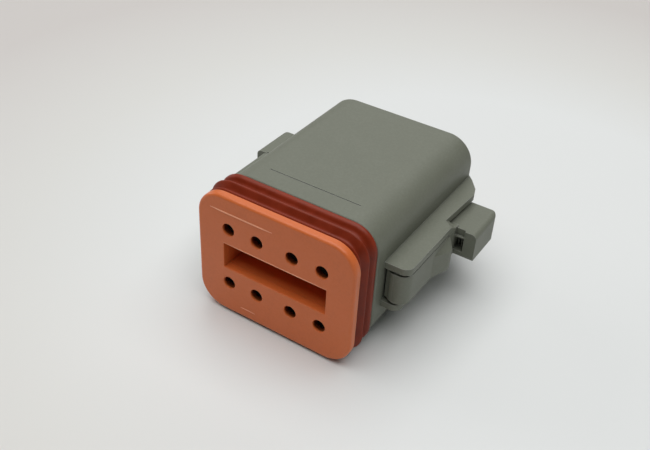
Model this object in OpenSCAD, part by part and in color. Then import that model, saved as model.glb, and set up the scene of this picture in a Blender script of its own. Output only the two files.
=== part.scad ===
// Sealed eight-way wire-to-wire plug: shell with two side latches,
// interface seal, wedge lock and rear wire grommet.
// X is the width, Y runs from the mating face (-Y) to the wires (+Y), Z is up.

/* [Shell] */
// Overall length, mating face to rear rim
length = 38.8; // [36:0.1:44]
// Width of the shell
body_w = 28.3; // [27.6:0.1:34]
// Height of the shell
body_h = 22.3; // [21.6:0.1:28]
// Corner radius of the shell
body_r = 4.8; // [4:0.1:6]
// Distance from the mating face to the shell's front shoulder
shoulder_y = 6.7; // [6.2:0.1:8]
// Wall of the shell round the rear grommet
rear_wall = 1.5; // [1.2:0.1:2]
// Depth of the grommet pocket
pocket_depth = 10.2; // [8:0.1:12]
// Rounding of the shell's rims
rim_round = 0.45; // [0.2:0.05:0.6]

/* [Contacts] */
// Spacing of an outer and an inner cavity in one row
pitch_side = 5.37; // [5.2:0.01:5.8]
// Spacing of the two inner cavities in one row
pitch_mid = 6.44; // [5.4:0.01:7]
// Spacing of the two rows
pitch_rows = 10.58; // [10.4:0.01:12]
// Radius of a cavity in front of its step
cavity_r = 1.7; // [1.5:0.05:1.8]
// Radius of a cavity behind its step
cavity_rear_r = 2; // [1.9:0.05:2.1]
// Width of a retention finger
finger_w = 1.9; // [1.6:0.1:2.1]
// Free length of a retention finger
finger_len = 11; // [9:0.5:13]
// Width of the slits that free a finger
finger_slit = 0.4; // [0.3:0.05:0.5]

/* [Wedge lock] */
// Width of the face plate
plate_w = 28.6; // [27.6:0.1:34]
// Height of the face plate
plate_h = 22.35; // [21.6:0.05:28]
// Corner radius of the face plate
plate_r = 4.6; // [4:0.1:6]
// Thickness of the face plate
plate_t = 1.5; // [1.3:0.1:1.8]
// Rounding of the face plate's front edge
plate_round = 0.4; // [0.2:0.05:0.6]
// Radius of a pin hole
pin_hole_r = 1.1; // [0.9:0.05:1.3]
// Width of the pocket in the face
slot_w = 19.1; // [18:0.1:19.6]
// Height of the pocket in the face
slot_h = 4.7; // [4.2:0.1:4.8]
// Depth of the pocket
slot_depth = 12; // [9:0.5:14]
// Wall of the hollow blade
blade_wall = 0.7; // [0.6:0.05:0.8]
// Length of the blade behind the face
blade_len = 17; // [15:0.5:18]
// Height of the guide key on each end of the blade
key_h = 1.6; // [1.2:0.1:2]

/* [Seals] */
// Number of ribs on the interface seal
seal_ribs = 3; // [2:1:3]
// Spacing of the ribs
rib_pitch = 1.85; // [1.7:0.05:2]
// Radius of a rib's crest
rib_r = 0.45; // [0.35:0.05:0.5]
// Height of a crest above the shell's outline
rib_proud = 0.25; // [0.1:0.05:0.6]
// Radial thickness of the seal's band under the ribs
seal_band = 0.85; // [0.7:0.05:1]
// Radius of a wire hole's sealing lips
wire_hole_r = 0.85; // [0.7:0.05:0.95]
// Setback of the grommet from the rear rim
grommet_setback = 1; // [0.8:0.1:1.5]

/* [Latches] */
// Height of the latch lever
latch_h = 5.5; // [5:0.1:6]
// Distance from the mating face to the lever's nose
latch_y = 8.9; // [8.6:0.1:10]
// Gap between the shell and the lever
latch_gap = 1.1; // [0.9:0.1:1.4]
// Thickness of the lever
latch_t = 3.05; // [2.7:0.05:3.3]
// Length of the lever from nose to pivot
lever_len = 13.4; // [12:0.1:14]
// Length of the thumb pad
pad_len = 8.5; // [7:0.1:9]
// Reach of the thumb pad beyond the lever's outer face
pad_reach = 3.7; // [3:0.1:4.2]
// Thickness of a rail
rail_t = 1.15; // [1:0.05:1.4]
// Reach of an upper rail beyond the shell
rail_reach = 4.3; // [4:0.1:4.6]
// Reach of a lower rail beyond the shell
low_rail_reach = 3.15; // [3.05:0.05:3.4]
// Radius of a hinge post
post_r = 0.75; // [0.6:0.05:0.8]

/* [Fits] */
// Running gap round what slides or turns
run_gap = 0.06; // [0.04:0.01:0.1]
// Gap between a seal and its seat
seat_gap = 0.05; // [0.03:0.01:0.1]
// Gap between a latch and the rails above and below it
rail_gap = 0.5; // [0.3:0.05:0.6]

/* [Hidden] */
$fn = 48;
over = 0.5;                                        // how far a cutter runs past what it cuts

// Stations along Y, measured from the mating face
nose_y = plate_t + 0.1;
pocket_y = length - pocket_depth;
finger_tip_y = nose_y + 2;
finger_root_y = finger_tip_y + finger_len;
blade_slot_y = blade_len + 0.4;
cavity_step_y = max(finger_root_y, blade_slot_y + 0.6);
grommet_y0 = pocket_y + seat_gap;
grommet_y1 = length - grommet_setback;

// Inner outlines, as offsets from the shell's own outline
band_off = rib_proud - rib_r - 0.25;
nose_off = band_off - seal_band;
pocket_off = -rear_wall;
rest_z = max(body_h / 2 + rib_proud, plate_h / 2);  // height of the row's centre above the floor

// Cavities
cavity_xs = [-pitch_mid / 2 - pitch_side, -pitch_mid / 2, pitch_mid / 2, pitch_mid / 2 + pitch_side];
row_z = pitch_rows / 2;
blade_w = slot_w + 2 * blade_wall;
blade_h = slot_h + 2 * blade_wall;
key_t = 0.5;                                       // how far a guide key stands out
blade_slot_w = blade_w + 2 * run_gap;
blade_slot_h = blade_h + 2 * run_gap;

// Latches and rails, on the +X side
shell_x = body_w / 2;
lever_x0 = shell_x + latch_gap;
lever_x1 = lever_x0 + latch_t;
rail_x1 = shell_x + rail_reach;
latch_drop = 0.15;                                  // how far a latch's middle lies below the row's centre
latch_z0 = -latch_h / 2 - latch_drop;
latch_z1 = latch_h / 2 - latch_drop;
rail_z0 = latch_z1 + rail_gap;
low_rail_z0 = -latch_z0 + rail_gap;
pivot_x = shell_x + low_rail_reach - 1.1;
pivot_y = latch_y + lever_len;
pad_y0 = pivot_y + 3.2;
pad_y1 = pad_y0 + pad_len;
pad_x0 = lever_x0 + 1.15;
pad_x1 = lever_x1 + pad_reach;
heel = 1.2;                                        // how far the heel stands out from the lever
post_depth = rail_t * 0.6;                         // how deep a hinge post sits in its rail
rail_step_y = pivot_y + 0.4;                       // where a rail steps in beside the pad
rail_rear_y = length - 3.5;

// ---- outlines and sweeps ----

// Rounded rectangle with corner centres on a rectangle of their own
module rounded(w, h, r) {
    square([w - 2 * r, h], center = true);
    square([w, h - 2 * r], center = true);
    for (x = [-1, 1], z = [-1, 1])
        translate([x * (w / 2 - r), z * (h / 2 - r)])
            circle(r);
}

// Prism of the shell's outline moved out by off, from y0 to y1
module shell_prism(off, y0, y1) {
    prism(body_w + 2 * off, body_h + 2 * off, body_r + off, y0, y1);
}

module prism(w, h, r, y0, y1) {
    translate([0, y1, 0])
        rotate([90, 0, 0])
            linear_extrude(y1 - y0)
                rounded(w, h, r);
}

// Sweeps a profile round a rounded rectangle. The profile's x is the offset
// out from the outline and its y runs along +Y.
module sweep_round(w, h, r) {
    for (side = [-1, 1]) {
        translate([side * w / 2, 0, 0])
            mirror([side < 0 ? 1 : 0, 0, 0])
                translate([0, 0, -(h / 2 - r)])
                    linear_extrude(h - 2 * r)
                        children();
        translate([0, 0, side * h / 2])
            mirror([0, 0, side < 0 ? 1 : 0])
                rotate([0, -90, 0])
                    translate([0, 0, -(w / 2 - r)])
                        linear_extrude(w - 2 * r)
                            children();
    }
    for (x = [-1, 1], z = [-1, 1])
        translate([x * (w / 2 - r), 0, z * (h / 2 - r)])
            mirror([x < 0 ? 1 : 0, 0, 0])
                mirror([0, 0, z > 0 ? 1 : 0])
                    rotate([-90, 0, 0])
                        rotate_extrude(angle = 90)
                            translate([r, 0])
                                children();
}

// Cutter profile that rounds an edge at the outline: the material lies
// at negative x and on the side of y that toward gives
module rim_profile(r, toward) {
    difference() {
        translate([-r, toward > 0 ? -over : -r])
            square([r + over, r + over]);
        translate([-r, toward * r])
            circle(r);
    }
}

// Puts a part, drawn from the mating face and the row's centre, in the shared frame
module place() {
    translate([0, -length / 2, rest_z])
        children();
}

// ---- shell ----

// Contact cavities, stepped, drawn as what is cut away
module cavities() {
    for (x = cavity_xs, z = [-row_z, row_z])
        translate([x, 0, z])
            rotate([-90, 0, 0]) {
                translate([0, 0, nose_y - over])
                    cylinder(h = cavity_step_y - nose_y + 2 * over, r = cavity_r);
                translate([0, 0, cavity_step_y])
                    cylinder(h = pocket_y - cavity_step_y + over, r = cavity_rear_r);
            }
}

// U-shaped slits that free the retention fingers between a row and the slot
module finger_slits() {
    slit_z0 = blade_slot_h / 2 - over;
    slit_z1 = row_z - cavity_r * 0.7;
    slit_mid_y = finger_tip_y + finger_len / 2;
    for (side = [-1, 1])
        mirror([0, 0, side < 0 ? 1 : 0])
            translate([0, 0, slit_z0])
                linear_extrude(slit_z1 - slit_z0)
                    for (x = cavity_xs) {
                        for (edge = [-1, 1])
                            translate([x + edge * (finger_w + finger_slit) / 2, slit_mid_y])
                                square([finger_slit, finger_len], center = true);
                        translate([x, finger_tip_y - finger_slit / 2])
                            square([finger_w + 2 * finger_slit, finger_slit + 0.02], center = true);
                    }
}

// Catches at the fingers' tips, which hold the contacts
module finger_catches() {
    catch_z0 = max(row_z - cavity_r - 0.3, blade_slot_h / 2 + 0.05);
    catch_z1 = row_z - cavity_r + 0.7;
    for (x = cavity_xs, side = [-1, 1])
        mirror([0, 0, side < 0 ? 1 : 0])
            translate([x - finger_w / 4, 0, 0])
                rotate([90, 0, 90])
                    linear_extrude(finger_w / 2)
                        polygon([[finger_tip_y, catch_z0], [finger_tip_y, catch_z1],
                                 [finger_tip_y + 0.6, catch_z1], [finger_tip_y + 2.4, catch_z0]]);
}

// Slot for the wedge lock's blade, with the grooves for its keys
module wedge_slot() {
    translate([-blade_slot_w / 2, nose_y - over, -blade_slot_h / 2])
        cube([blade_slot_w, blade_slot_y - nose_y + over, blade_slot_h]);
    translate([-blade_slot_w / 2 - key_t, nose_y - over, -key_h / 2 - run_gap])
        cube([blade_slot_w + 2 * key_t, blade_slot_y - nose_y + over, key_h + 2 * run_gap]);
}

// Plan outline of a rail that reaches out to x1: round front corner, step in
// beside the thumb pad, slanted rear
module rail_plan(x1) {
    corner = 1.5;
    inner = shell_x - over;
    waist_x = shell_x + 2.7;
    flare = 0.55;
    translate([x1 - corner, latch_y + corner])
        circle(corner);
    translate([inner, latch_y])
        square([x1 - corner - inner, corner]);
    translate([inner, latch_y + corner])
        square([x1 - inner, rail_step_y - latch_y - corner]);
    polygon([[inner, rail_step_y], [x1, rail_step_y], [waist_x, rail_step_y + 1.2],
             [waist_x + flare, rail_rear_y - 1.6], [waist_x, rail_rear_y], [shell_x + 1, length - 1.2],
             [shell_x, length - 0.2], [inner, length - 0.2]]);
}

// One rail from z0 up, drawn on the +X side, with its blind hinge socket
module rail(x1, z0) {
    difference() {
        translate([0, 0, z0])
            linear_extrude(rail_t)
                rail_plan(x1);
        translate([pivot_x, pivot_y, z0 - over])
            cylinder(h = post_depth + over + 0.05, r = post_r + run_gap);
    }
}

// Ear of an upper rail, sloping down behind the hinge towards the thumb pad
module rail_ear() {
    ear_z0 = latch_z1 + 0.15;
    ear_z1 = rail_z0 + rail_t;
    slope_run = 1.9;
    slope_turn = 50.5;
    intersection() {
        translate([0, 0, ear_z0])
            linear_extrude(ear_z1 - ear_z0)
                polygon([[shell_x, rail_step_y + 1.3], [pivot_x, rail_step_y + 1],
                         [pivot_x + 1, rail_step_y - 0.2], [rail_x1, rail_step_y - 0.2],
                         [rail_x1, pad_y0 - 0.6], [pad_x0, pad_y0 - 0.1], [shell_x, pad_y0 - 0.1]]);
        translate([rail_x1, rail_step_y, 0])
            rotate([90, 0, slope_turn])
                linear_extrude(4 * rail_reach, center = true)
                    polygon([[-2 * rail_reach, ear_z0], [slope_run, ear_z0],
                             [0, ear_z1], [-2 * rail_reach, ear_z1]]);
    }
}

// Lip under the front corner of an upper rail, beside the lever's nose
module rail_lip() {
    lip = 0.4;
    lip_w = 0.5;
    translate([min(rail_x1, lever_x1) - lip_w, latch_y + 0.9, rail_z0 - lip])
        cube([lip_w, lip_w, lip + 0.1]);
}

module rails() {
    for (side = [-1, 1])
        mirror([side < 0 ? 1 : 0, 0, 0]) {
            rail(rail_x1, rail_z0);
            rail_ear();
            rail_lip();
            mirror([0, 0, 1])
                rail(shell_x + low_rail_reach, low_rail_z0);
        }
}

// Shallow parting step across the top of the shell
module top_step() {
    step_w = body_w - 2 * body_r - 2;
    translate([-step_w / 2, shoulder_y + 3.8, body_h / 2 - 0.12])
        cube([step_w, 0.16, over]);
}

module shell_outside() {
    difference() {
        shell_prism(0, shoulder_y, length);
        translate([0, length, 0])
            sweep_round(body_w, body_h, body_r)
                rim_profile(rim_round, -1);
        translate([0, shoulder_y, 0])
            sweep_round(body_w, body_h, body_r)
                rim_profile(rim_round, 1);
    }
    shell_prism(nose_off, nose_y, shoulder_y + over);
}

module housing() {
    color([0.47, 0.48, 0.43])
        place() {
            difference() {
                union() {
                    shell_outside();
                    rails();
                }
                cavities();
                wedge_slot();
                finger_slits();
                shell_prism(pocket_off, pocket_y, length + over);
                top_step();
            }
            finger_catches();
        }
}

// ---- latches ----

// Plan outline of the lever up to the thumb pad
module lever_plan() {
    nose_round = 1.9;
    intersection() {
        translate([lever_x1 - nose_round, latch_y + nose_round])
            circle(nose_round);
        translate([lever_x0, latch_y])
            square([latch_t, nose_round]);
    }
    translate([lever_x0, latch_y])
        square([latch_t - nose_round, nose_round]);
    translate([lever_x0, latch_y + nose_round])
        square([latch_t, pivot_y - 2 - latch_y - nose_round]);
    polygon([[lever_x0, pivot_y - 2], [lever_x1, pivot_y - 2], [lever_x1, pad_y0 + 1],
             [pad_x0, pad_y0 + 1], [pad_x0, pad_y0 - 1], [lever_x0 + 0.6, pivot_y]]);
}

// Heel beside the hinge, whose top slopes outwards
module lever_heel() {
    heel_y = pivot_y - 4.6;
    facet_z = 1.3;
    facet_tilt = 48;
    facet_turn = -12;
    difference() {
        translate([0, 0, latch_z0])
            linear_extrude(latch_h)
                polygon([[lever_x1 - over, heel_y], [lever_x1, heel_y], [lever_x1 + heel, pivot_y - 1.1],
                         [lever_x1 + heel, pivot_y - 0.3], [lever_x1, pivot_y + 0.7],
                         [lever_x1 - over, pivot_y + 0.7]]);
        translate([lever_x1, heel_y, facet_z])
            rotate([0, facet_tilt, facet_turn])
                translate([-latch_h, -2 * latch_h, 0])
                    cube([2 * latch_h, 4 * latch_h, latch_h]);
    }
}

module pad_plan() {
    corner = 1.2;
    translate([pad_x0, pad_y0])
        square([pad_x1 - pad_x0, pad_len - corner]);
    translate([pad_x0, pad_y0])
        square([pad_x1 - pad_x0 - corner, pad_len]);
    translate([pad_x1 - corner, pad_y1 - corner])
        circle(corner);
}

// Thumb pad with a soft upper edge and a steep chamfer under its front edge
module pad() {
    soft = 0.9;
    soft_low = 0.3;
    pad_top = latch_z1 - 0.2;
    intersection() {
        translate([0, 0, latch_z0])
            linear_extrude(pad_top - latch_z0)
                pad_plan();
        translate([0, pad_y1 + over, 0])
            rotate([90, 0, 0])
                linear_extrude(pad_len + 2 * over) {
                    translate([pad_x0 - over, latch_z0])
                        square([pad_x1 - soft - pad_x0 + over, pad_top - latch_z0]);
                    translate([pad_x0, latch_z0 + soft_low])
                        square([pad_x1 - pad_x0, pad_top - soft - latch_z0 - soft_low]);
                    translate([pad_x0, latch_z0])
                        square([pad_x1 - soft_low - pad_x0, pad_top - soft - latch_z0]);
                    translate([pad_x1 - soft, pad_top - soft])
                        circle(soft);
                    translate([pad_x1 - soft_low, latch_z0 + soft_low])
                        circle(soft_low);
                }
        translate([pad_x0 - over, 0, 0])
            rotate([90, 0, 90])
                linear_extrude(pad_x1 - pad_x0 + 2 * over)
                    polygon([[pad_y0 + 0.35, latch_z0], [pad_y1, latch_z0], [pad_y1, pad_top],
                             [pad_y0, pad_top], [pad_y0, latch_z0 + 0.6]]);
    }
}

// Recess behind the hook, where the mating half's ramp sits
module hook_recess() {
    recess_y0 = latch_y + 2.6;
    recess_y1 = pivot_y - 3;
    translate([0, 0, -latch_h])
        linear_extrude(2 * latch_h)
            polygon([[lever_x0 - over, recess_y0], [lever_x0 + 1.2, recess_y0],
                     [lever_x0 + 1.2, recess_y1 - 1.5], [lever_x0, recess_y1],
                     [lever_x0 - over, recess_y1]]);
    translate([0, 0, -latch_h])
        linear_extrude(2 * latch_h)
            polygon([[lever_x0 - over, latch_y - over], [lever_x0 + 0.9, latch_y - over],
                     [lever_x0, latch_y + 1.4], [lever_x0 - over, latch_y + 1.4]]);
}

// Moulding pocket in the pad, open to the front, with a notch above its mouth
module pad_pocket() {
    pocket_x0 = pad_x0 + 1.8;
    pocket_w = 1.7;
    wall = 1.15;
    notch_z0 = 1.15;
    notch_t = 0.4;
    translate([pocket_x0, pad_y0 - over, latch_z0 + wall])
        cube([pocket_w, pad_len - wall + over, notch_z0 - 0.3 - latch_z0 - wall]);
    translate([pocket_x0, pad_y0 - over, notch_z0])
        cube([pocket_w, notch_t + over, latch_h]);
}

module latch() {
    post_z0 = -low_rail_z0 - post_depth;
    difference() {
        union() {
            translate([0, 0, latch_z0])
                linear_extrude(latch_z1 - latch_z0)
                    lever_plan();
            lever_heel();
            pad();
            translate([pivot_x, pivot_y, post_z0])
                cylinder(h = rail_z0 + post_depth - post_z0, r = post_r);
        }
        hook_recess();
        pad_pocket();
    }
}

module right_latch() {
    color([0.48, 0.49, 0.44])
        place()
            latch();
}

module left_latch() {
    color([0.48, 0.49, 0.44])
        place()
            mirror([1, 0, 0])
                latch();
}

// ---- seals ----

module interface_seal() {
    y0 = nose_y;
    y1 = shoulder_y - seat_gap;
    rib_y = (y0 + y1) / 2 - (seal_ribs - 1) / 2 * rib_pitch;
    color([0.52, 0.2, 0.11])
        place()
            sweep_round(body_w, body_h, body_r) {
                translate([nose_off + seat_gap, y0])
                    square([seal_band - seat_gap, y1 - y0]);
                for (i = [0 : seal_ribs - 1]) {
                    translate([rib_proud - rib_r, rib_y + i * rib_pitch])
                        circle(rib_r);
                    translate([band_off - 0.1, rib_y + i * rib_pitch - rib_r])
                        square([rib_proud - rib_r - band_off + 0.1, 2 * rib_r]);
                }
            }
}

// Half section of a wire hole: a lip at each end and one between, drawn as what is cut away
module wire_hole() {
    len = grommet_y1 - grommet_y0;
    relief_r = wire_hole_r + 0.45;
    rotate([-90, 0, 0])
        rotate_extrude()
            polygon([[0, -over], [wire_hole_r, -over], [wire_hole_r, 1], [relief_r, 1.6],
                     [relief_r, len / 2 - 1], [wire_hole_r, len / 2 - 0.4], [wire_hole_r, len / 2 + 0.4],
                     [relief_r, len / 2 + 1], [relief_r, len - 1.6], [wire_hole_r, len - 1],
                     [wire_hole_r, len + 2], [0, len + 2]]);
}

module wire_grommet() {
    off = pocket_off - seat_gap;
    collar_h = 0.6;
    collar_r = wire_hole_r + 0.8;
    groove = 0.3;
    len = grommet_y1 - grommet_y0;
    color([0.52, 0.2, 0.11])
        place()
            difference() {
                union() {
                    shell_prism(off, grommet_y0, grommet_y1);
                    for (x = cavity_xs, z = [-row_z, row_z])
                        translate([x, grommet_y1 - over, z])
                            rotate([-90, 0, 0])
                                cylinder(h = over + collar_h, r1 = collar_r + 0.4, r2 = collar_r);
                }
                for (k = [1, 2])
                    translate([0, grommet_y0 + k * len / 3, 0])
                        sweep_round(body_w + 2 * off, body_h + 2 * off, body_r + off)
                            circle(groove, $fn = 24);
                for (x = cavity_xs, z = [-row_z, row_z])
                    translate([x, grommet_y0, z])
                        wire_hole();
            }
}

// ---- wedge lock ----

// Blade with a tapered lead-in at its tip, drawn from the side
module blade() {
    lead = 1.6;
    translate([-blade_w / 2, 0, 0])
        rotate([90, 0, 90])
            linear_extrude(blade_w)
                polygon([[plate_t - over, -blade_h / 2], [blade_len - lead, -blade_h / 2],
                         [blade_len, -blade_h / 2 + lead / 2], [blade_len, blade_h / 2 - lead / 2],
                         [blade_len - lead, blade_h / 2], [plate_t - over, blade_h / 2]]);
    translate([-blade_w / 2 - key_t + run_gap, plate_t - over, -key_h / 2])
        cube([blade_w + 2 * (key_t - run_gap), blade_len - lead - plate_t + over, key_h]);
}

module pin_hole() {
    chamfer = 0.12;
    rotate([-90, 0, 0]) {
        translate([0, 0, -over])
            cylinder(h = plate_t + 2 * over, r = pin_hole_r);
        translate([0, 0, -0.01])
            cylinder(h = chamfer + 0.01, r1 = pin_hole_r + chamfer, r2 = pin_hole_r);
    }
}

module wedge_lock() {
    color([0.75, 0.38, 0.2])
        place()
            difference() {
                union() {
                    prism(plate_w, plate_h, plate_r, 0, plate_t);
                    blade();
                }
                sweep_round(plate_w, plate_h, plate_r)
                    rim_profile(plate_round, 1);
                translate([-slot_w / 2, -over, -slot_h / 2])
                    cube([slot_w, slot_depth + over, slot_h]);
                for (x = cavity_xs, z = [-row_z, row_z])
                    translate([x, 0, z])
                        pin_hole();
            }
}

housing();
right_latch();
left_latch();
interface_seal();
wedge_lock();
wire_grommet();
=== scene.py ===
import math
import bmesh
import bpy
from mathutils import Matrix, Vector


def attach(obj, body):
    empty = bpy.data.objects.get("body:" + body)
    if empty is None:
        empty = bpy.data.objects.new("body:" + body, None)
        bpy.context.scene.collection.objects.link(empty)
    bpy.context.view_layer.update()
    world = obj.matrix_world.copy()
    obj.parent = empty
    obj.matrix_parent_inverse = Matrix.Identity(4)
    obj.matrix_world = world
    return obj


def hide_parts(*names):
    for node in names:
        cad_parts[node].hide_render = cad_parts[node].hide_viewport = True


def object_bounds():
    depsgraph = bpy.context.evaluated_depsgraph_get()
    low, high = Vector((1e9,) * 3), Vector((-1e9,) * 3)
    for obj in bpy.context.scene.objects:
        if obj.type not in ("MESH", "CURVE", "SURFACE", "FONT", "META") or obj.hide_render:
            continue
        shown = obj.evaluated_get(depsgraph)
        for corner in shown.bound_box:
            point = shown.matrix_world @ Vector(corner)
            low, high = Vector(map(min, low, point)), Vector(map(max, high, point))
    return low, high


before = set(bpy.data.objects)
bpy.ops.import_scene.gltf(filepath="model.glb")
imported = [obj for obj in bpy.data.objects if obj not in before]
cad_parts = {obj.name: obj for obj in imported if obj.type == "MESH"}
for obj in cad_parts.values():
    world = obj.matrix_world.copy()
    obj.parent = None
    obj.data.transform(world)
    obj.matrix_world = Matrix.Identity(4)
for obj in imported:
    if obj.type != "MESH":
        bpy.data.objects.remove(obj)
cad_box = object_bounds()

# ---- Bench top and daylight ----
# The plug lies on a pale matt bench top under a broad ceiling panel, with a
# soft shadow on the side away from the window. The top's colour is painted
# lighter round the plug and greyer with distance: a painted pool of light.

MM = 0.001
bench_half = 4
# The seal's lowest lip stands this far below the model's box.
bench_drop = 0.21 * MM
# Painted pool of light: the bench's colours from the pool's centre outwards.
bench_light_pool_tones = [(0, (0.742, 0.758, 0.748, 1)), (0.4, (0.682, 0.68, 0.652, 1)),
               (1, (0.60, 0.572, 0.548, 1))]
light_pool_span = (0.055, 0.13)
light_pool_centre = (0.015, 0.025, 0)
room_color = (0.95, 0.97, 1.0, 1)
room_strength = 0.06


def linked(name, mesh):
    piece = bpy.data.objects.new(name, mesh)
    bpy.context.scene.collection.objects.link(piece)
    return piece


def shader(material, kind, settings=(), into=(), **sockets):
    """Adds one node; into feeds its sockets in order, and a named socket takes a value or an output."""
    node = material.node_tree.nodes.new("ShaderNode" + kind)
    for setting, value in dict(settings).items():
        setattr(node, setting, value)
    for socket, output in zip(node.inputs, into):
        material.node_tree.links.new(output, socket)
    for name, value in sockets.items():
        socket = node.inputs[name.replace("_", " ")]
        if isinstance(value, bpy.types.NodeSocket):
            material.node_tree.links.new(value, socket)
        else:
            socket.default_value = value
    return node


def ramp(material, factor, *stops):
    """A colour ramp; each stop is its place and its colour."""
    node = shader(material, "ValToRGB", Fac=factor)
    marks = node.color_ramp.elements
    marks[0].position, marks[0].color = stops[0]
    marks[1].position, marks[1].color = stops[-1]
    for place, color in stops[1:-1]:
        marks.new(place).color = color
    return node.outputs["Color"]


def new_material(name, roughness):
    material = bpy.data.materials.new(name)
    material.use_nodes = True
    surface = material.node_tree.nodes["Principled BSDF"]
    surface.inputs["Roughness"].default_value = roughness
    return material, surface


def plug_in(material, output, socket):
    material.node_tree.links.new(output, socket)


bench_mesh = bpy.data.meshes.new("bench_top")
bench_mesh.from_pydata(
    [(-bench_half, -bench_half, 0), (bench_half, -bench_half, 0),
     (bench_half, bench_half, 0), (-bench_half, bench_half, 0)],
    [], [(0, 1, 2, 3)])
bench_top = linked("bench_top", bench_mesh)
bench_top.location.z = cad_box[0][2] - bench_drop

bench_with_painted_light, bench_surface = new_material("bench_with_painted_light", 0.6)
on_bench = shader(bench_with_painted_light, "TexCoord").outputs["Object"]
from_light = shader(bench_with_painted_light, "VectorMath", {"operation": "DISTANCE"}, Vector=on_bench)
from_light.inputs[1].default_value = light_pool_centre
# Painted light: the bench's colour greys off with distance from the light pool's centre.
fade = shader(bench_with_painted_light, "MapRange", Value=from_light.outputs["Value"],
              From_Min=light_pool_span[0], From_Max=light_pool_span[1]).outputs["Result"]
plug_in(bench_with_painted_light, ramp(bench_with_painted_light, fade, *bench_light_pool_tones), bench_surface.inputs["Base Color"])
bench_mesh.materials.append(bench_with_painted_light)

world = bpy.data.worlds.new("room")
bpy.context.scene.world = world
world.use_nodes = True
room_light = world.node_tree.nodes["Background"]
room_light.inputs["Color"].default_value = room_color
room_light.inputs["Strength"].default_value = room_strength


def panel_lamp(name, place, width, height, power):
    """A lamp panel with its middle at place in metres, turned towards the plug."""
    lamp = bpy.data.lights.new(name, "AREA")
    lamp.shape = "RECTANGLE"
    lamp.size = width
    lamp.size_y = height
    lamp.energy = power
    holder = linked(name, lamp)
    holder.location = place
    holder.rotation_euler = (-Vector(place)).to_track_quat("-Z", "Y").to_euler()


panel_lamp("ceiling_panel", place=(0, 0, 0.9), width=1.2, height=1.2, power=10.7)
panel_lamp("bright_wall", place=(-0.35, 0.75, 0.5), width=1.0, height=0.5, power=1.3)
panel_lamp("window_left", place=(-0.85, 0, 0.3), width=0.6, height=0.4, power=1.4)
panel_lamp("room_front", place=(0, -0.8, 0.45), width=0.6, height=0.6, power=0.1)
panel_lamp("room_right", place=(0.85, 0, 0.3), width=0.6, height=0.4, power=0.3)

# ---- Camera ----
# A hand-held view from the front right and above, tilted a few degrees.

view_azimuth = math.radians(31.02)
view_elevation = math.radians(36.45)
view_roll = math.radians(3.47)
view_place = Vector((0.05779, -0.10107, 0.09578))
view_lens = 47.24
sensor_width = 36

back = Vector((math.sin(view_azimuth) * math.cos(view_elevation),
               -math.cos(view_azimuth) * math.cos(view_elevation),
               math.sin(view_elevation)))
level_right = (-back).cross(Vector((0, 0, 1))).normalized()
level_up = back.cross(level_right)
right = level_right * math.cos(view_roll) + level_up * math.sin(view_roll)
up = level_up * math.cos(view_roll) - level_right * math.sin(view_roll)

camera_data = bpy.data.cameras.new("camera")
camera_data.lens = view_lens
camera_data.sensor_width = sensor_width
camera_data.clip_start = 0.01
camera = linked("camera", camera_data)
camera.matrix_world = Matrix.Translation(view_place) @ Matrix((right, up, back)).transposed().to_4x4()
bpy.context.scene.camera = camera
bpy.context.scene.view_settings.view_transform = "Standard"

# ---- Shell ----
# The shell is one shot of grey glass-filled nylon: a rounded box with eight
# contact cavities, the wedge lock's slot and the rails that carry the latches.
# The tool leaves a satin grain, soft corners and a fine line near the front.

shell_edge = 0.14 * MM
# Most values of a noise texture lie in this span.
noise_span = (0.3, 0.7)


def finish_node(node, material):
    """Gives a node of the model its material, on the object and not on the shared mesh."""
    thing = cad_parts[node]
    if not thing.material_slots:
        thing.data.materials.append(None)
    for place in thing.material_slots:
        place.link = "OBJECT"
        place.material = material


def noise(material, place, scale, detail, roughness):
    return shader(material, "TexNoise", Vector=place, Scale=scale, Detail=detail,
                  Roughness=roughness).outputs["Fac"]


def mapped(material, value, start, end, low, high):
    """Carries start to end over to low to high, and holds beyond."""
    return shader(material, "MapRange", Value=value, From_Min=start, From_Max=end,
                  To_Min=low, To_Max=high).outputs["Result"]


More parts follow.
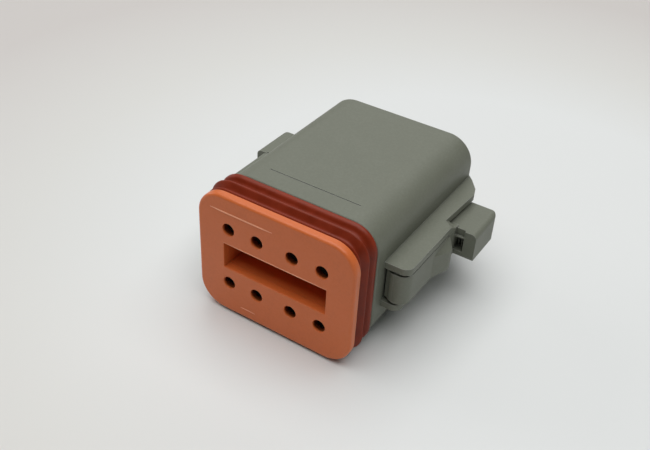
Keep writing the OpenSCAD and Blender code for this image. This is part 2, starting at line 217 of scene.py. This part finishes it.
def nylon(name, color, roughness, gloss, grain, wear_and_highlight, edge):
    """Moulded nylon: flow marks and a satin grain, with painted shade darkening crevices, and edges lighter
    from rubbed wear and painted highlight.
    """
    material, surface = new_material(name, roughness)
    surface.inputs["Specular IOR Level"].default_value = gloss
    place = shader(material, "TexCoord").outputs["Object"]
    flow = noise(material, place, scale=230, detail=3, roughness=0.55)
    speck = noise(material, place, scale=2600, detail=2, roughness=0.6)
    fine = noise(material, place, scale=5200, detail=3, roughness=0.6)
    rounded = shader(material, "Bevel", {"samples": 6}, Radius=edge).outputs["Normal"]
    facing = shader(material, "NewGeometry").outputs["Normal"]
    match = shader(material, "VectorMath", {"operation": "DOT_PRODUCT"},
                   (rounded, facing)).outputs["Value"]
    open_sky = shader(material, "AmbientOcclusion", {"samples": 4}, Distance=0.8 * MM).outputs["AO"]
    base = 0.4
    total = mapped(material, flow, *noise_span, base - 0.02, base + 0.02)
    fleck = mapped(material, speck, *noise_span, -0.03, 0.03)
    # Edges lighter in the colour: partly rubbed wear, partly painted highlight on the edges.
    rubbed_and_highlit = mapped(material, match, 0.99, 0.78, 0, 0.6)
    # Painted shade: the colour darkens where the surface sees little open room, in crevices and recesses.
    painted_crevice_shade = mapped(material, open_sky, 0.3, 0.75, -0.36, 0)
    for part in (fleck, rubbed_and_highlit, painted_crevice_shade):
        total = shader(material, "Math", into=(total, part)).outputs["Value"]
    # The dark end of the ramp is reached mostly through the painted shade.
    dark = [c * 0.45 for c in color] + [1]
    # The light end of the ramp carries the rubbed wear and the painted edge highlight.
    light = [c + (1 - c) * wear_and_highlight for c in color] + [1]
    plug_in(material, ramp(material, total, (0, dark), (base, [*color, 1]), (1, light)),
            surface.inputs["Base Color"])
    plug_in(material, mapped(material, flow, *noise_span, roughness - 0.05, roughness + 0.05),
            surface.inputs["Roughness"])
    wave = shader(material, "Bump", Height=flow, Strength=0.15, Distance=0.05 * MM,
                  Normal=rounded).outputs["Normal"]
    skin = shader(material, "Bump", Height=fine, Strength=grain, Distance=0.02 * MM,
                  Normal=wave).outputs["Normal"]
    plug_in(material, skin, surface.inputs["Normal"])
    return material


grey_nylon = nylon("grey_nylon", (0.162, 0.172, 0.133), roughness=0.5, gloss=0.38, grain=0.35,
                   wear_and_highlight=0.24, edge=shell_edge)
finish_node("housing", grey_nylon)

# ---- Side latches ----
# Each latch is a lever of the same grey nylon that turns on its hinge posts.
# Its hooked nose has a short web towards the shell, and the hollow thumb pad
# behind the hinge has two thin ribs in its pocket.

# The middle of the front face. Outlines are in mm from it: across, rearward and up.
row_centre = Vector((0, -19.4, 11.4)) * MM
web_bend = [(15.75, 8.93), (15.4, 9.02), (15.15, 9.2), (14.9, 9.42), (14.35, 9.6)]
web_back = [(14.35, 11.2), (15.35, 11.2), (15.35, 10.42), (16.25, 9.02), (16.25, 8.93)]
web_low = -2.8
web_high = 2.5
pad_rib_places = [18.6, 19.1]
pad_rib_half = 0.09
pad_rib_front = 26.9
pad_rib_rear = 32.87
pad_rib_low = -1.77
pad_rib_high = 0.87


def curve(stops, steps):
    """A smooth curve through the stops, with this many steps from each stop to the next."""
    points = []
    for before, start, end, after in zip([stops[0]] + stops, stops, stops[1:], stops[2:] + [stops[-1]]):
        for step in range(steps):
            t = step / steps
            points.append(tuple(
                0.5 * (2 * p + (q - o) * t + (2 * o - 5 * p + 4 * q - r) * t ** 2
                       + (3 * p - o - 3 * q + r) * t ** 3)
                for o, p, q, r in zip(before, start, end, after)))
    return points + [stops[-1]]


def finished(name, form):
    """Turns the faces outward and links the form as a piece."""
    bmesh.ops.recalc_face_normals(form, faces=form.faces)
    mesh = bpy.data.meshes.new(name)
    form.to_mesh(mesh)
    form.free()
    return linked(name, mesh)


def skinned(name, rows, closed=False, smooth=False):
    """A skin over rows of points; it runs back to the first row, or both ends are capped."""
    form = bmesh.new()
    grid = [[form.verts.new(point) for point in row] for row in rows]
    for row, after in zip(grid, grid[1:] + (grid[:1] if closed else [])):
        for i in range(len(row)):
            j = (i + 1) % len(row)
            form.faces.new((row[i], row[j], after[j], after[i])).smooth = smooth
    if not closed:
        form.faces.new(grid[0])
        form.faces.new(grid[-1])
    return finished(name, form)


def upright(name, plan, low, high, side):
    """A piece with one plan outline from low to high; side is 1 on the right and -1 on the left."""
    return skinned(name, [[row_centre + Vector((side * x, y, z)) * MM for x, y in plan]
                          for z in (low, high)])


for side, way in (("right", 1), ("left", -1)):
    finish_node(side + "_latch", grey_nylon)
    added = [upright(side + "_nose_web", curve(web_bend, 2) + web_back, web_low, web_high, way)]
    for x in pad_rib_places:
        plan = [(x - pad_rib_half, pad_rib_front), (x + pad_rib_half, pad_rib_front),
                (x + pad_rib_half, pad_rib_rear), (x - pad_rib_half, pad_rib_rear)]
        added.append(upright(side + "_pad_rib", plan, pad_rib_low, pad_rib_high, way))
    for piece in added:
        piece.data.materials.append(grey_nylon)
        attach(piece, side + "_latch")

# ---- Interface seal ----
# A ring of rust-red silicone slipped over the nose in front of the shell's
# shoulder, with three lips round it. The rear two lean back, so the mating
# shroud wipes over them.

seal_width = 28.6
seal_height = 22.5
seal_corner = 4.1
seal_shift = (-0.3, -0.1)
# Each stop is how far the silicone stands out past the seal's outline, and how
# far it lies behind the front face, over three crests and two grooves.
seal_stops = [(-1.30, 1.84), (-0.55, 1.83), (-0.16, 2.14), (-0.50, 2.38), (-0.90, 2.68), (-0.84, 3.04),
              (-0.34, 3.40), (0.26, 3.84), (-0.06, 4.08), (-0.70, 4.34), (-0.97, 4.92), (-0.68, 5.40),
              (-0.07, 5.78), (0.10, 6.32), (-0.20, 6.66), (-1.30, 6.66)]


def round_box_path(width, height, corner, corner_steps, side_steps):
    """Points and outward directions round a rounded rectangle in XZ, anticlockwise from the right."""
    stops = []
    quarters = [(1, 1, 0), (-1, 1, 90), (-1, -1, 180), (1, -1, 270)]
    for index, (across, rise, start) in enumerate(quarters):
        centre = Vector((across * (width / 2 - corner), rise * (height / 2 - corner)))
        for step in range(corner_steps + 1):
            turn = math.radians(start + 90 * step / corner_steps)
            out = Vector((math.cos(turn), math.sin(turn)))
            stops.append((centre + out * corner, out))
        ahead = quarters[(index + 1) % 4]
        goal = Vector((ahead[0] * (width / 2 - corner), ahead[1] * (height / 2 - corner))) + out * corner
        last = stops[-1][0]
        for step in range(1, side_steps):
            stops.append((last.lerp(goal, step / side_steps), out))
    return stops


def ring(name, stops, profile, origin):
    """Sweeps a closed profile of (outward, rearward) pairs in mm round the stops."""
    rows = [[origin + Vector((place.x + out.x * reach, depth, place.y + out.y * reach)) * MM
             for reach, depth in profile] for place, out in stops]
    return skinned(name, rows, closed=True, smooth=True)


def silicone(name, color, roughness):
    """Silicone: a dull skin with faint clouds of tone and sheen, and a fine grain."""
    material, surface = new_material(name, roughness)
    surface.inputs["Specular IOR Level"].default_value = 0.28
    place = shader(material, "TexCoord").outputs["Object"]
    cloud = noise(material, place, scale=420, detail=4, roughness=0.6)
    fine = noise(material, place, scale=3800, detail=3, roughness=0.6)
    dark = [c * 0.84 for c in color] + [1]
    light = [c * 1.14 for c in color] + [1]
    plug_in(material, ramp(material, cloud, (0.3, dark), (0.7, light)), surface.inputs["Base Color"])
    plug_in(material, mapped(material, cloud, *noise_span, roughness - 0.08, roughness + 0.08),
            surface.inputs["Roughness"])
    skin = shader(material, "Bump", Height=fine, Strength=0.3, Distance=0.015 * MM).outputs["Normal"]
    plug_in(material, skin, surface.inputs["Normal"])
    return material


seal_silicone = silicone("seal_silicone", (0.22, 0.023, 0.004), roughness=0.42)
seal_path = round_box_path(seal_width, seal_height, seal_corner, corner_steps=14, side_steps=10)
seal = ring("lip_seal", seal_path, curve(seal_stops, 3),
            row_centre + Vector((seal_shift[0], 0, seal_shift[1])) * MM)
seal.data.materials.append(seal_silicone)
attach(seal, "shell")
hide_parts("interface_seal")

# ---- Wire grommet ----
# A block of the same silicone in the rear pocket. Each wire passes through a
# lipped hole with a raised collar.

finish_node("wire_grommet", seal_silicone)

# ---- Wedge lock ----
# An orange nylon face plate with a hollow blade behind it, pushed in last to
# lock the contacts. Eight pin holes go through it, and the tool's inserts
# leave fine witness lines on the face, drawn in a lighter nylon as a painted
# highlight. The line along the slot's top edge is a painted highlight on that edge.

plate_width = 28.85
plate_height = 22.4
plate_shift = (-0.12, 0)
plate_corner = 4.6
plate_thickness = 1.5
plate_front_rounding = 0.5
plate_rear_rounding = 0.2
slot_width = 19.1
slot_height = 4.7
slot_corner = 0.12
slot_rounding = 0.12
pin_columns = [-8.59, -3.22, 3.22, 8.59]
pin_row = 5.29
pin_hole = 1.1
pin_hole_rounding = 0.14
# Behind its front stretch each pin hole steps out into a wider recess.
pin_hole_front = 0.5
pin_hole_recess = 0.3
opening_rear_rounding = 0.02
rim_flat = 0.06
lock_edge = 0.1 * MM
blade_gap = 0.005
blade_weld = 0.002 * MM
blade_snap = 0.0001 * MM


def quarter(reach, depth, radius, start, steps=6):
    """A quarter of a rounding in a profile, about (reach, depth), from a start angle in degrees."""
    return [(reach + radius * math.cos(math.radians(start + 90 * k / steps)),
             depth + radius * math.sin(math.radians(start + 90 * k / steps))) for k in range(steps + 1)]


def circle_path(x, z, radius, steps=40):
    """Points and outward directions round a circle in XZ."""
    turns = [2 * math.pi * k / steps for k in range(steps)]
    outs = [Vector((math.cos(turn), math.sin(turn))) for turn in turns]
    return [(Vector((x, z)) + out * radius, out) for out in outs]


def pierced_plate(name, loops, origin):
    """A plate from loops of (stops, profile). Each profile runs from the front face to the back face."""
    form = bmesh.new()
    front, rear = [], []
    for stops, profile in loops:
        rows = []
        for reach, depth in profile:
            rows.append([])
            for place, out in stops:
                spot = Vector((place.x + out.x * reach, depth, place.y + out.y * reach))
                rows[-1].append(form.verts.new(origin + spot * MM))
        for row, after in zip(rows, rows[1:]):
            for i in range(len(row)):
                j = (i + 1) % len(row)
                form.faces.new((row[i], row[j], after[j], after[i])).smooth = True
        for rim, row in ((front, rows[0]), (rear, rows[-1])):
            rim += [form.edges.get((row[i], row[(i + 1) % len(row)])) for i in range(len(row))]
    for rim in (front, rear):
        bmesh.ops.triangle_fill(form, edges=rim, use_beauty=True)
    return finished(name, form)


def front_rim(radius, side):
    """From the flat front over a rounding to the edge; side is 1 outside and -1 in an opening."""
    return [(side * reach, depth) for reach, depth in
            [(-radius - rim_flat, 0)] + quarter(-radius, radius, radius, -90)]


def rear_rim(radius, side):
    """From the edge over a rounding to the flat rear."""
    return [(side * reach, depth) for reach, depth in
            quarter(-radius, plate_thickness - radius, radius, 0) + [(-radius - rim_flat, plate_thickness)]]


lock_nylon = nylon("lock_nylon", (0.65, 0.15, 0.036), roughness=0.33, gloss=0.42, grain=0.3,
                   wear_and_highlight=0.1, edge=lock_edge)
outline = [(place + Vector(plate_shift), out) for place, out in
           round_box_path(plate_width, plate_height, plate_corner, corner_steps=16, side_steps=6)]
slot_path = round_box_path(slot_width, slot_height, slot_corner, corner_steps=3, side_steps=6)
hole_profile = front_rim(pin_hole_rounding, -1) + [
    (0, pin_hole_front), (pin_hole_recess, pin_hole_front + rim_flat),
    (pin_hole_recess, plate_thickness), (pin_hole_recess + rim_flat, plate_thickness)]
loops = [(outline, front_rim(plate_front_rounding, 1) + rear_rim(plate_rear_rounding, 1)),
         (slot_path, front_rim(slot_rounding, -1) + rear_rim(opening_rear_rounding, -1))]
for x in pin_columns:
    for z in (-pin_row, pin_row):
        loops.append((circle_path(x, z, pin_hole), hole_profile))
plate = pierced_plate("front_plate", loops, row_centre)

# The blade is the model's own lock, cut off just behind the plate.
lock_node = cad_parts["wedge_lock"]
blade_form = bmesh.new()
blade_form.from_mesh(lock_node.data)
blade_form.transform(lock_node.matrix_world)
bmesh.ops.remove_doubles(blade_form, verts=blade_form.verts, dist=blade_weld)
bmesh.ops.bisect_plane(blade_form, geom=[*blade_form.verts, *blade_form.edges, *blade_form.faces],
                       dist=blade_snap,
                       plane_co=row_centre + Vector((0, plate_thickness + blade_gap, 0)) * MM,
                       plane_no=(0, -1, 0), clear_outer=True)
blade_mesh = bpy.data.meshes.new("lock_blade")
blade_form.to_mesh(blade_mesh)
blade_form.free()
blade = linked("lock_blade", blade_mesh)
for piece in (plate, blade):
    piece.data.materials.append(lock_nylon)
    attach(piece, "wedge_lock")
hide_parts("wedge_lock")

# A lighter copy of the plate's nylon: the raised lines are painted as lit, a painted highlight.
lit_line_nylon = nylon("lit_line_nylon", (0.9, 0.42, 0.24), roughness=0.4, gloss=0.4, grain=0.2,
                   wear_and_highlight=0.1, edge=0.05 * MM)
# A line's section: how far aside in widths and how proud in heights. Its foot
# is sunk to line_root, and it fades over line_fade of its length at each end.
line_section = [(-0.5, 0), (-0.3, 0.7), (0, 1), (0.3, 0.7), (0.5, 0)]
line_root = 0.02
line_fade = 1 / 6
line_steps = 24


def lit_raised_line(name, start, end, width, height):
    """A fine raised line on the plate, from start to end in mm, that fades out at both ends, in the lighter
    nylon of a painted highlight.
    """
    start, end = Vector((start[0], 0, start[1])), Vector((end[0], 0, end[1]))
    along = (end - start).normalized()
    across = Vector((-along.z, 0, along.x))
    rows = []
    for step in range(line_steps + 1):
        share = step / line_steps
        full = min(1, share / line_fade, (1 - share) / line_fade)
        row = []
        for aside, proud in line_section:
            spot = start.lerp(end, share) + across * (aside * width * (0.5 + 0.5 * full))
            spot.y = -proud * height * full if proud else line_root
            row.append(row_centre + spot * MM)
        rows.append(row)
    line = skinned(name, rows)
    line.data.materials.append(lit_line_nylon)
    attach(line, "wedge_lock")


lit_raised_line("upper_witness_line", start=(-12, 8.45), end=(-0.3, 8.45), width=0.24, height=0.15)
# A lit strip along the slot's top edge: a painted highlight on that edge, not a witness line.
lit_raised_line("slot_edge_highlight_line", start=(-9.6, 2.52), end=(9.6, 2.52), width=0.16, height=0.09)
lit_raised_line("lower_witness_line", start=(-6.4, -9.3), end=(-3.4, -9.3), width=0.14, height=0.05)
